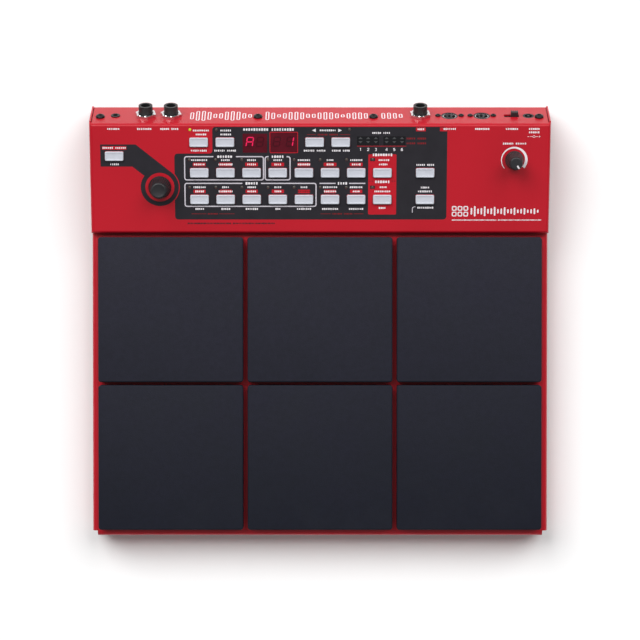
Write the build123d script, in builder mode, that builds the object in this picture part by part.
"""Six-pad electronic drum pad: a folded steel case, six rubber pads and a sloping control panel.

Millimetres. +X is to the player's right, +Y points away from the player and +Z is up.
The origin lies on the table, under the centre of the whole object's box.
"""

import os
from math import atan2, cos, hypot, sin

from build123d import *

os.makedirs("parts", exist_ok=True)

# Case
case_width = 325.0
case_depth = 306.0          # front flange to the lower rear edge
sheet = 1.2                 # steel thickness
bend_radius = 3.6           # outside radius of the case bends
corner_relief = 3.6         # square relief where the front flange meets a side flange
foot_height = 4.0
deck_height = 27.0          # table to the top of the pad deck
panel_lip = 7.0             # front edge of the control panel above the deck
panel_rise = 16.5
panel_run = 76.2
rear_run = 13.6             # how far the rear face leans back on its way down
cheek_lip = 0.9             # side cheeks stand this far behind the rear face
seam = 0.4
tongue = 8.0                # deck plate that reaches under the control panel
cover_clearance = 0.2

# Pads
side_margin = 5.0           # case side to pad
front_margin = 5.1          # front flange to pad
panel_gap = 2.9             # rear pads to control panel
pad_gap_x = 3.0
pad_gap_y = 2.2
pad_columns = 3
pad_rows = 2
pad_corner = 2.0
pad_edge = 1.1
pad_height = 9.0
pad_travel = 0.7
pad_float = 1.2             # pad skirt above the deck at rest
plate_clearance = 0.3
skirt_wall = 3.0
plate_seat = 2.9            # skirt's lower edge to the plate's upper face
foam_gap = 0.2              # what is left between foam and plate when a pad is struck
foam_side = 64.0
sensor_radius = 13.5
sensor_thickness = 0.6
sensor_ring = 2.5           # foam stands clear of the sensor
stud_radius = 1.5
stud_hole_clearance = 0.3
stud_inset = 13.5          # pad edge to the stud's axis
stud_washer_radius = 3.2
stud_washer_thickness = 1.2
stop_clearance = 0.3

# Control panel pieces: x is across, v is up the slope from the panel's front edge
button_width = 13.0
button_length = 6.5
button_corner = 0.9
button_proud = 1.8
button_clearance = 0.2
button_flange = 1.0
button_flange_thickness = 0.8
button_play = 0.3
button_travel = 0.5
button_pitch = 18.46
button_stem = 1.3
button_edge = 0.5
button_reserve = 0.1        # left between a pressed button and its switch
plunger_radius = 1.7
button_column = -85.2
buttons_per_row = 8
button_row_v = (24.1, 43.2, 65.0)
shift_x = 74.2
top_row_x = (-85.4, -66.9, -3.8, 14.6)
left_button = (-145.0, 55.1)
lamp_offset_x = -6.9
lamp_offset_v = (8.9, 9.6)
top_lamps = ((-91.5, 74.1), (-72.9, 74.1), (20.8, 74.3))
lamp_radius = 1.0
lamp_clearance = 0.1
lamp_proud = 0.3
board_depth = 7.3           # panel surface to the panel board
board_thickness = 1.2
board_front_v = 10.0
board_rear_v = 66.0
board_half_width = 157.0
board_tab = (-97.0, 62.0, 77.0)
switch_side = 6.0
switch_height = 2.4
lens_thickness = 1.3
lens_clearance = 0.1
digit_lenses = ((-45.8, 64.5, 17.2, 13.5), (-25.5, 65.0, 19.5, 14.6))
channel_lenses = ((33.8, 66.1, 15.6, 6.5), (52.4, 66.1, 15.6, 6.5))
module_gap = 0.3
module_inset = 1.0
level_place = (137.0, 51.7)
level_radius = 6.6
level_top_radius = 4.7
level_height = 16.0
dial_place = (-113.2, 32.0)
dial_radius = 8.1
dial_top_radius = 5.8
dial_height = 14.0
knob_gap = 0.6
knob_edge = 0.8
knob_cover = 3.0            # material above the shaft's end
knob_end_gap = 0.3
shaft_radius = 3.0
shaft_running = 0.05
bushing_radius = 3.5
bushing_proud = 1.6
bushing_clearance = 0.5
pot_side = 14.0

# Rear panel pieces: x is across, t is down the slope from the upper fold
jack_drop = 15.0
screw_drop = 12.6
nose_length = 8.0
nose_radius = 4.9
line_bore = 3.25
line_jack_x = (-123.3, -105.4, 70.9)
jack_body = (14.0, 12.0, 22.0)
jack_bore_depth = 30.0
nut_flats = 13.4
nut_thickness = 2.6
thread_clearance = 0.05
hole_clearance = 0.2
phones_x = -144.8
phones_radius = 3.1
phones_bore = 1.8
phones_proud = 0.6
phones_body = (8.0, 9.0, 14.0)
phones_bore_depth = 14.0
midi_x = (91.7, 114.5)
midi_radius = 5.8
midi_body = (19.4, 14.0, 13.0)
midi_pin_circle = 3.75
midi_pins = 5
midi_pin_hole = 0.8
midi_recess = 2.0
midi_rim = 0.9
midi_screw_offset = 8.2
midi_pin_depth = 6.0
switch_x = 135.6
switch_slot = (10.6, 4.6)
switch_body = (13.6, 10.0, 8.0)
slider_size = (5.0, 3.6, 3.4)
slider_travel = 4.0
slider_clearance = 0.3
slider_foot = 3.0
slider_groove = 0.6
inlet_x = 147.5
inlet_radius = 3.9
inlet_bore = 2.75
inlet_pin = 1.05
inlet_body = (8.8, 9.0, 12.0)
inlet_depth = 9.0
case_screw_x = (-155.4, -43.9, 37.8, 154.9)
screw_radius = 1.5
screw_head_radius = 3.2
screw_head = 2.2
screw_length = 8.0
head_taper = 20
small_screw_radius = 1.2
small_head_radius = 2.0
small_head = 1.4
slot_width = 0.9

# Base
plate_gap = 0.3
post_radius = 4.0
post_screw_head = 2.8
post_screw_head_height = 1.8
post_screw_radius = 1.5
post_screw_depth = 10.0
foot_radius = 9.0
foot_taper = 15
foot_inset = 18.0
clamp_spacing = 80.0
clamp_hole = 2.7
main_board_width = 230.0
main_board_depth = 48.0
main_board_gap = 4.0
main_board_setback = 24.0
standoff_radius = 2.6
standoff_margin = 3.0
main_board_chips = ((-70, 0, 30, 22), (-15, 4, 18, 18), (35, -3, 24, 14), (85, 2, 14, 26))
chip_height = 2.4

# Levels and angles that follow
base_z = foot_height
plate_top = base_z + sheet
panel_front_z = deck_height + panel_lip
fold_z = panel_front_z + panel_rise
seam_z = deck_height - bend_radius
slope = atan2(panel_rise, panel_run)
rear_drop = fold_z - seam_z
lean = atan2(rear_run, rear_drop)
rear_length = hypot(rear_run, rear_drop)
jack_overhang = (jack_drop + nose_radius) * sin(lean) + nose_length * cos(lean) - rear_run
front_y = -(case_depth + jack_overhang) / 2
rear_y = front_y + case_depth
middle_y = (front_y + rear_y) / 2
fold_y = rear_y - rear_run
panel_front_y = fold_y - panel_run
bay_front_y = panel_front_y + tongue

pad_width = (case_width - 2 * side_margin - (pad_columns - 1) * pad_gap_x) / pad_columns
pads_front_y = front_y + front_margin
pads_rear_y = panel_front_y - panel_gap
pad_depth = (pads_rear_y - pads_front_y - (pad_rows - 1) * pad_gap_y) / pad_rows
stud_offset_x = pad_width / 2 - stud_inset
stud_offset_y = pad_depth / 2 - stud_inset
pad_pitch_x = pad_width + pad_gap_x
pad_pitch_y = pad_depth + pad_gap_y
pads_middle_y = (pads_front_y + pads_rear_y) / 2
pad_bottom = deck_height + pad_float
plate_top_z = pad_bottom + plate_seat
plate_bottom_z = plate_top_z - sheet
deck_under = deck_height - sheet

panel_plane = Plane(
    origin=(0, panel_front_y, panel_front_z), x_dir=(1, 0, 0), z_dir=(0, -sin(slope), cos(slope))
)
rear_plane = Plane(
    origin=(0, fold_y, fold_z), x_dir=(1, 0, 0), z_dir=(0, cos(lean), sin(lean))
)


def pad_centres():
    """Name suffix and centre of each pad, front row first, left to right."""
    places = []
    for row in range(pad_rows):
        for column in range(pad_columns):
            x = (column - (pad_columns - 1) / 2) * pad_pitch_x
            y = pads_middle_y + (row - (pad_rows - 1) / 2) * pad_pitch_y
            places.append((len(places) + 1, x, y))
    return places


def button_places():
    """Name and panel place of every push button."""
    places = [("button_left", *left_button)]
    for number, x in enumerate(top_row_x, 1):
        places.append((f"button_top_{number}", x, button_row_v[2]))
    for row, word in enumerate(("lower", "upper")):
        for number in range(buttons_per_row):
            x = button_column + number * button_pitch
            places.append((f"button_{word}_{number + 1}", x, button_row_v[row]))
        places.append((f"button_{word}_shift", shift_x, button_row_v[row]))
    return places


def lamp_places():
    """Panel place of every round status lamp."""
    places = list(top_lamps)
    for row in range(2):
        for number in range(buttons_per_row):
            x = button_column + number * button_pitch + lamp_offset_x
            places.append((x, button_row_v[row] + lamp_offset_v[row]))
    return places


def at_panel(depth=0.0):
    return panel_plane.offset(depth)


def at_rear(depth=0.0):
    return rear_plane.offset(depth)


def save(piece, name):
    piece.part.label = name
    export_step(piece.part, f"parts/{name}.step")


# ---- Case

stud_places = [
    (x + dx, y + dy)
    for _, x, y in pad_centres()
    for dx in (-stud_offset_x, stud_offset_x)
    for dy in (-stud_offset_y, stud_offset_y)
]
post_places = [
    (side * pad_pitch_x / 2, pads_middle_y + step * pad_pitch_y / 2)
    for side in (-1, 1)
    for step in (-1, 0, 1)
]

with BuildPart() as deck_chassis:
    with BuildSketch(Plane.XY.offset(base_z)):
        with Locations((0, middle_y)):
            Rectangle(case_width, case_depth)
    extrude(amount=deck_height - base_z)
    fillet(deck_chassis.edges().group_by(Axis.Z)[-1], radius=bend_radius)
    offset(amount=-sheet, openings=deck_chassis.faces().sort_by(Axis.Z)[0])
    with BuildSketch(Plane.XY.offset(base_z)):
        with Locations(
            (case_width / 2 - corner_relief / 2, front_y + corner_relief / 2),
            (-case_width / 2 + corner_relief / 2, front_y + corner_relief / 2),
        ):
            Rectangle(corner_relief, corner_relief)
    extrude(amount=deck_height - base_z, mode=Mode.SUBTRACT)
    with BuildSketch(Plane.XY.offset(seam_z)):
        with Locations((0, (bay_front_y + rear_y) / 2)):
            Rectangle(case_width, rear_y - bay_front_y)
        for side in (-1, 1):
            with Locations((side * (case_width - bend_radius) / 2, (panel_front_y + rear_y) / 2)):
                Rectangle(bend_radius, rear_y - panel_front_y)
    extrude(amount=bend_radius, mode=Mode.SUBTRACT)
    with BuildSketch(Plane.XY.offset(deck_height)):
        with Locations(*stud_places):
            Circle(stud_radius + stud_hole_clearance)
    extrude(amount=-2 * sheet, mode=Mode.SUBTRACT)
    with BuildSketch(Plane.XY.offset(plate_top)):
        with Locations(*post_places):
            Circle(post_radius)
    extrude(amount=deck_under - plate_top)
    with BuildSketch(Plane.XY.offset(plate_top)):
        with Locations(*post_places):
            Circle(post_screw_radius + thread_clearance)
    extrude(amount=post_screw_depth, mode=Mode.SUBTRACT)
save(deck_chassis, "deck_chassis")

inner_fold = (
    fold_y - sheet * (cos(lean) - sin(slope)) / (1 + sin(lean - slope)),
    fold_z - sheet * (sin(lean) + cos(slope)) / (1 + sin(lean - slope)),
)

with BuildPart() as control_panel:
    with BuildSketch(Plane.YZ):
        with BuildLine():
            Polyline(
                (panel_front_y, seam_z),
                (panel_front_y, panel_front_z),
                (fold_y, fold_z),
                (rear_y, seam_z),
                close=True,
            )
        make_face()
    extrude(amount=case_width / 2, both=True)
    top_face = control_panel.faces().sort_by(Axis.Z)[-1]
    fillet(top_face.edges(), radius=bend_radius - sheet)
    with BuildSketch(Plane.YZ):
        with BuildLine():
            Polyline(
                (panel_front_y + sheet, seam_z),
                (
                    panel_front_y + sheet,
                    panel_front_z + sheet * (sin(slope) - 1) / cos(slope),
                ),
                inner_fold,
                (rear_y - sheet / cos(lean), seam_z),
                close=True,
            )
        make_face()
    extrude(amount=case_width / 2 - sheet, both=True, mode=Mode.SUBTRACT)
    with BuildSketch(Plane.XY.offset(seam_z)):
        with Locations((0, panel_front_y)):
            Rectangle(case_width - 2 * bend_radius + 2 * cover_clearance, 4 * sheet)
    extrude(amount=bend_radius, mode=Mode.SUBTRACT)
    with BuildSketch(at_rear()):
        for side in (-1, 1):
            with Locations((side * (case_width - sheet) / 2, (rear_length + bend_radius) / 2)):
                Rectangle(sheet, rear_length - bend_radius)
    extrude(amount=cheek_lip)
    with BuildSketch(at_rear(cheek_lip)):
        for side in (-1, 1):
            with Locations(
                (side * (case_width / 2 - sheet - seam / 2), (rear_length + bend_radius) / 2)
            ):
                Rectangle(seam, rear_length - bend_radius)
    extrude(amount=-cheek_lip - 2 * sheet, mode=Mode.SUBTRACT)
    with BuildSketch(at_panel(sheet)):
        for _, x, v in button_places():
            with Locations((x, v)):
                RectangleRounded(
                    button_width + 2 * button_clearance,
                    button_length + 2 * button_clearance,
                    button_corner,
                )
        with Locations(*lamp_places()):
            Circle(lamp_radius + lamp_clearance)
        for x, v, width, length in digit_lenses + channel_lenses:
            with Locations((x, v)):
                Rectangle(width + 2 * lens_clearance, length + 2 * lens_clearance)
        with Locations(level_place, dial_place):
            Circle(bushing_radius + hole_clearance)
    extrude(amount=-3 * sheet, mode=Mode.SUBTRACT)
    with BuildSketch(at_rear(sheet)):
        with Locations(*[(x, jack_drop) for x in line_jack_x]):
            Circle(nose_radius + hole_clearance)
        with Locations((phones_x, jack_drop)):
            Circle(phones_radius + hole_clearance)
        with Locations(*[(x, jack_drop) for x in midi_x]):
            Circle(midi_radius + hole_clearance)
        with Locations(
            *[(x + side * midi_screw_offset, jack_drop) for x in midi_x for side in (-1, 1)]
        ):
            Circle(small_screw_radius + hole_clearance)
        with Locations((switch_x, jack_drop)):
            Rectangle(*switch_slot)
        with Locations((inlet_x, jack_drop)):
            Circle(inlet_radius + hole_clearance)
        with Locations(*[(x, screw_drop) for x in case_screw_x]):
            Circle(screw_radius + hole_clearance)
    extrude(amount=-3 * sheet, mode=Mode.SUBTRACT)
save(control_panel, "control_panel")

with BuildPart() as bottom_plate:
    with BuildSketch(Plane.XY.offset(base_z)):
        with Locations((0, middle_y)):
            Rectangle(
                case_width - 2 * sheet - 2 * plate_gap, case_depth - 2 * sheet - 2 * plate_gap
            )
        with Locations(*post_places):
            Circle(post_screw_radius + hole_clearance, mode=Mode.SUBTRACT)
        with Locations((0, pads_middle_y)):
            with GridLocations(clamp_spacing, clamp_spacing, 2, 2):
                Circle(clamp_hole, mode=Mode.SUBTRACT)
    extrude(amount=sheet)
save(bottom_plate, "bottom_plate")

with BuildPart() as rubber_feet:
    with BuildSketch(Plane.XY.offset(base_z)):
        with Locations((0, middle_y)):
            with GridLocations(case_width - 2 * foot_inset, case_depth - 2 * foot_inset, 2, 2):
                Circle(foot_radius)
    extrude(amount=-foot_height, taper=foot_taper)
save(rubber_feet, "rubber_feet")

with BuildPart() as base_screws:
    with BuildSketch(Plane.XY.offset(base_z)):
        with Locations(*post_places):
            Circle(post_screw_head)
    extrude(amount=-post_screw_head_height)
    fillet(base_screws.edges().group_by(Axis.Z)[0], radius=post_screw_head_height / 2)
    with BuildSketch(Plane.XY.offset(base_z)):
        with Locations(*post_places):
            Circle(post_screw_radius)
    extrude(amount=sheet + post_screw_depth - thread_clearance)
    with BuildSketch(Plane.XY.offset(base_z - post_screw_head_height)):
        with Locations(*post_places):
            Rectangle(post_screw_head, slot_width)
            Rectangle(slot_width, post_screw_head)
    extrude(amount=post_screw_head_height / 2, mode=Mode.SUBTRACT)
save(base_screws, "base_screws")

# ---- Pads

for number, pad_x, pad_y in pad_centres():
    with BuildPart() as pad_rubber:
        with BuildSketch(Plane.XY.offset(pad_bottom)):
            with Locations((pad_x, pad_y)):
                RectangleRounded(pad_width, pad_depth, pad_corner)
        extrude(amount=pad_height)
        fillet(pad_rubber.edges().group_by(Axis.Z)[-1], radius=pad_edge)
        with BuildSketch(Plane.XY.offset(pad_bottom)):
            with Locations((pad_x, pad_y)):
                Rectangle(pad_width - 2 * skirt_wall, pad_depth - 2 * skirt_wall)
        extrude(amount=plate_seat, mode=Mode.SUBTRACT)
    save(pad_rubber, f"pad_{number}")

    corners = [
        (pad_x + dx, pad_y + dy)
        for dx in (-stud_offset_x, stud_offset_x)
        for dy in (-stud_offset_y, stud_offset_y)
    ]
    with BuildPart() as pad_plate:
        with BuildSketch(Plane.XY.offset(plate_bottom_z)):
            with Locations((pad_x, pad_y)):
                Rectangle(
                    pad_width - 2 * skirt_wall - 2 * plate_clearance,
                    pad_depth - 2 * skirt_wall - 2 * plate_clearance,
                )
        extrude(amount=sheet)
        with BuildSketch(Plane.XY.offset(plate_bottom_z)):
            with Locations(*corners):
                Circle(stud_radius)
        extrude(amount=deck_under - stop_clearance - stud_washer_thickness - plate_bottom_z)
        with BuildSketch(Plane.XY.offset(deck_under - stop_clearance)):
            with Locations(*corners):
                Circle(stud_washer_radius)
        extrude(amount=-stud_washer_thickness)
    save(pad_plate, f"pad_plate_{number}")

with BuildPart() as pad_foam:
    with BuildSketch(Plane.XY.offset(deck_height)):
        with Locations(*[(x, y) for _, x, y in pad_centres()]):
            Rectangle(foam_side, foam_side)
            Circle(sensor_radius + sensor_ring, mode=Mode.SUBTRACT)
    extrude(amount=plate_bottom_z - pad_travel - foam_gap - deck_height)
save(pad_foam, "pad_foam")

with BuildPart() as pad_sensors:
    with BuildSketch(Plane.XY.offset(deck_height)):
        with Locations(*[(x, y) for _, x, y in pad_centres()]):
            Circle(sensor_radius)
    extrude(amount=sensor_thickness)
save(pad_sensors, "pad_sensors")

# ---- Control panel

flange_top = -sheet - button_play
flange_bottom = flange_top - button_flange_thickness
stem_bottom = flange_bottom - button_stem
plunger_top = stem_bottom - button_travel - button_reserve
board_top = -board_depth
switch_top = board_top + switch_height
panel_axis = Axis((0, 0, 0), panel_plane.z_dir)

for name, x, v in button_places():
    with BuildPart() as button:
        with BuildSketch(at_panel(flange_top)):
            with Locations((x, v)):
                RectangleRounded(button_width, button_length, button_corner)
        extrude(amount=button_proud - flange_top)
        fillet(button.faces().sort_by(panel_axis)[-1].edges(), radius=button_edge)
        with BuildSketch(at_panel(flange_top)):
            with Locations((x, v)):
                Rectangle(button_width + 2 * button_flange, button_length + 2 * button_flange)
        extrude(amount=-button_flange_thickness)
        with BuildSketch(at_panel(flange_bottom)):
            with Locations((x, v)):
                Circle(plunger_radius + button_clearance)
        extrude(amount=-button_stem)
    save(button, name)

with BuildPart() as tact_switches:
    with BuildSketch(at_panel(board_top)):
        for _, x, v in button_places():
            with Locations((x, v)):
                Rectangle(switch_side, switch_side)
    extrude(amount=switch_height)
    with BuildSketch(at_panel(switch_top)):
        for _, x, v in button_places():
            with Locations((x, v)):
                Circle(plunger_radius)
    extrude(amount=plunger_top - switch_top)
save(tact_switches, "tact_switches")

with BuildPart() as panel_board:
    with BuildSketch(at_panel(board_top)):
        with Locations((0, (board_front_v + board_rear_v) / 2)):
            Rectangle(2 * board_half_width, board_rear_v - board_front_v)
        tab_left, tab_right, tab_rear = board_tab
        with Locations(((tab_left + tab_right) / 2, (board_front_v + tab_rear) / 2)):
            Rectangle(tab_right - tab_left, tab_rear - board_front_v)
    extrude(amount=-board_thickness)
save(panel_board, "panel_board")

with BuildPart() as status_lamps:
    with BuildSketch(at_panel(board_top)):
        with Locations(*lamp_places()):
            Circle(lamp_radius)
    extrude(amount=board_depth + lamp_proud)
save(status_lamps, "status_lamps")

with BuildPart() as panel_lenses:
    with BuildSketch(at_panel(-sheet)):
        for x, v, width, length in digit_lenses + channel_lenses:
            with Locations((x, v)):
                Rectangle(width, length)
    extrude(amount=lens_thickness)
save(panel_lenses, "panel_lenses")

with BuildPart() as display_modules:
    with BuildSketch(at_panel(-sheet - module_gap)):
        for x, v, width, length in digit_lenses + channel_lenses:
            with Locations((x, v)):
                Rectangle(width - module_inset, length - module_inset)
    extrude(amount=board_top + sheet + module_gap)
save(display_modules, "display_modules")

with BuildPart() as shaft_controls:
    for place, knob_height in ((level_place, level_height), (dial_place, dial_height)):
        with BuildSketch(at_panel(board_top)):
            with Locations(place):
                Rectangle(pot_side, pot_side)
        extrude(amount=board_depth - sheet - module_gap)
        with BuildSketch(at_panel(board_top)):
            with Locations(place):
                Circle(bushing_radius)
        extrude(amount=board_depth + bushing_proud)
        with BuildSketch(at_panel(board_top)):
            with Locations(place):
                Circle(shaft_radius)
        extrude(amount=board_depth + knob_gap + knob_height - knob_cover)
save(shaft_controls, "shaft_controls")

for name, place, base_radius, top_radius, knob_height in (
    ("level_knob", level_place, level_radius, level_top_radius, level_height),
    ("value_dial", dial_place, dial_radius, dial_top_radius, dial_height),
):
    with BuildPart() as knob:
        with BuildSketch(at_panel(knob_gap)):
            with Locations(place):
                Circle(base_radius)
        with BuildSketch(at_panel(knob_gap + knob_height)):
            with Locations(place):
                Circle(top_radius)
        loft()
        fillet(knob.faces().sort_by(panel_axis)[-1].edges(), radius=knob_edge)
        with BuildSketch(at_panel(knob_gap)):
            with Locations(place):
                Circle(bushing_radius + bushing_clearance)
        extrude(amount=bushing_proud - knob_gap + bushing_clearance, mode=Mode.SUBTRACT)
        with BuildSketch(at_panel(knob_gap)):
            with Locations(place):
                Circle(shaft_radius + shaft_running)
        extrude(amount=knob_height - knob_cover + knob_end_gap, mode=Mode.SUBTRACT)
    save(knob, name)

# ---- Rear panel

with BuildPart() as line_jacks:
    with BuildSketch(at_rear(-sheet)):
        with Locations(*[(x, jack_drop) for x in line_jack_x]):
            Rectangle(jack_body[0], jack_body[1])
    extrude(amount=-jack_body[2])
    with BuildSketch(at_rear(-sheet)):
        with Locations(*[(x, jack_drop) for x in line_jack_x]):
            Circle(nose_radius)
    extrude(amount=sheet + nose_length)
    with BuildSketch(at_rear(nose_length)):
        with Locations(*[(x, jack_drop) for x in line_jack_x]):
            Circle(line_bore)
    extrude(amount=-jack_bore_depth, mode=Mode.SUBTRACT)
save(line_jacks, "line_jacks")

with BuildPart() as jack_nuts:
    with BuildSketch(at_rear()):
        with Locations(*[(x, jack_drop) for x in line_jack_x]):
            RegularPolygon(nut_flats / 2, 6, major_radius=False)
            Circle(nose_radius + thread_clearance, mode=Mode.SUBTRACT)
    extrude(amount=nut_thickness)
save(jack_nuts, "jack_nuts")

with BuildPart() as phones_jack:
    with BuildSketch(at_rear(-sheet)):
        with Locations((phones_x, jack_drop)):
            Rectangle(phones_body[0], phones_body[1])
    extrude(amount=-phones_body[2])
    with BuildSketch(at_rear(-sheet)):
        with Locations((phones_x, jack_drop)):
            Circle(phones_radius)
    extrude(amount=sheet + phones_proud)
    with BuildSketch(at_rear(phones_proud)):
        with Locations((phones_x, jack_drop)):
            Circle(phones_bore)
    extrude(amount=-phones_bore_depth, mode=Mode.SUBTRACT)
save(phones_jack, "phones_jack")

with BuildPart() as midi_sockets:
    with BuildSketch(at_rear(-sheet)):
        with Locations(*[(x, jack_drop) for x in midi_x]):
            Rectangle(midi_body[0], midi_body[1])
    extrude(amount=-midi_body[2])
    with BuildSketch(at_rear(-sheet)):
        with Locations(*[(x, jack_drop) for x in midi_x]):
            Circle(midi_radius)
    extrude(amount=sheet)
    with BuildSketch(at_rear()):
        with Locations(*[(x, jack_drop) for x in midi_x]):
            Circle(midi_radius - midi_rim)
    extrude(amount=-midi_recess, mode=Mode.SUBTRACT)
    with BuildSketch(at_rear(-midi_recess)):
        for x in midi_x:
            with Locations((x, jack_drop)):
                with PolarLocations(midi_pin_circle, midi_pins, angular_range=180, endpoint=True):
                    Circle(midi_pin_hole)
    extrude(amount=-midi_pin_depth, mode=Mode.SUBTRACT)
    with BuildSketch(at_rear(-sheet)):
        with Locations(
            *[(x + side * midi_screw_offset, jack_drop) for x in midi_x for side in (-1, 1)]
        ):
            Circle(small_screw_radius + thread_clearance)
    extrude(amount=-screw_length, mode=Mode.SUBTRACT)
save(midi_sockets, "midi_sockets")

with BuildPart() as power_inlet:
    with BuildSketch(at_rear(-sheet)):
        with Locations((inlet_x, jack_drop)):
            Rectangle(inlet_body[0], inlet_body[1])
    extrude(amount=-inlet_body[2])
    with BuildSketch(at_rear(-sheet)):
        with Locations((inlet_x, jack_drop)):
            Circle(inlet_radius)
    extrude(amount=sheet)
    with BuildSketch(at_rear()):
        with Locations((inlet_x, jack_drop)):
            Circle(inlet_bore)
            Circle(inlet_pin, mode=Mode.SUBTRACT)
    extrude(amount=-inlet_depth, mode=Mode.SUBTRACT)
save(power_inlet, "power_inlet")

slider_track = slider_size[0] + slider_travel + 2 * slider_clearance
with BuildPart() as power_switch:
    with BuildSketch(at_rear(-sheet)):
        with Locations((switch_x, jack_drop)):
            Rectangle(switch_body[0], switch_body[1])
    extrude(amount=-switch_body[2])
    with BuildSketch(at_rear(-sheet)):
        with Locations((switch_x, jack_drop)):
            Rectangle(slider_track, slider_size[1] + 2 * slider_clearance)
    extrude(amount=-slider_foot - slider_clearance, mode=Mode.SUBTRACT)
save(power_switch, "power_switch")

with BuildPart() as power_slider:
    with BuildSketch(at_rear(-sheet - slider_foot)):
        with Locations((switch_x + slider_travel / 2, jack_drop)):
            Rectangle(slider_size[0], slider_size[1])
    extrude(amount=slider_foot + sheet + slider_size[2])
    with BuildSketch(at_rear(slider_size[2])):
        with Locations((switch_x + slider_travel / 2, jack_drop)):
            with GridLocations(slider_groove * 2, 0, 3, 1):
                Rectangle(slider_groove, slider_size[1])
    extrude(amount=-slider_groove, mode=Mode.SUBTRACT)
save(power_slider, "power_slider")

with BuildPart() as rear_screws:
    for places, head_radius, head, shank in (
        ([(x, screw_drop) for x in case_screw_x], screw_head_radius, screw_head, screw_radius),
        (
            [(x + side * midi_screw_offset, jack_drop) for x in midi_x for side in (-1, 1)],
            small_head_radius,
            small_head,
            small_screw_radius,
        ),
    ):
        with BuildSketch(at_rear(-screw_length)):
            with Locations(*places):
                Circle(shank)
        extrude(amount=screw_length)
        with BuildSketch(at_rear()):
            with Locations(*places):
                Circle(head_radius)
        extrude(amount=head, taper=head_taper)
        with BuildSketch(at_rear(head)):
            with Locations(*places):
                Rectangle(head_radius, slot_width)
                Rectangle(slot_width, head_radius)
        extrude(amount=-head / 2, mode=Mode.SUBTRACT)
save(rear_screws, "rear_screws")

# ---- Inside the case

main_board_rear = rear_y - main_board_setback
with BuildPart() as main_board:
    with BuildSketch(Plane.XY.offset(plate_top + main_board_gap)):
        with Locations((0, main_board_rear - main_board_depth / 2)):
            Rectangle(main_board_width, main_board_depth)
    extrude(amount=board_thickness)
    with BuildSketch(Plane.XY.offset(plate_top + main_board_gap + board_thickness)):
        for x, y, width, length in main_board_chips:
            with Locations((x, main_board_rear - main_board_depth / 2 + y)):
                Rectangle(width, length)
    extrude(amount=chip_height)
save(main_board, "main_board")

with BuildPart() as board_standoffs:
    with BuildSketch(Plane.XY.offset(plate_top)):
        with Locations((0, main_board_rear - main_board_depth / 2)):
            with GridLocations(
                main_board_width - 2 * standoff_margin,
                main_board_depth - 2 * standoff_margin,
                2,
                2,
            ):
                Circle(standoff_radius)
    extrude(amount=main_board_gap)
    with BuildSketch(at_panel(-sheet)):
        with Locations((0, (board_front_v + board_rear_v) / 2)):
            with GridLocations(
                2 * board_half_width - 2 * standoff_margin,
                board_rear_v - board_front_v - 2 * standoff_margin,
                2,
                2,
            ):
                Circle(standoff_radius)
    extrude(amount=sheet - board_depth)
save(board_standoffs, "board_standoffs")
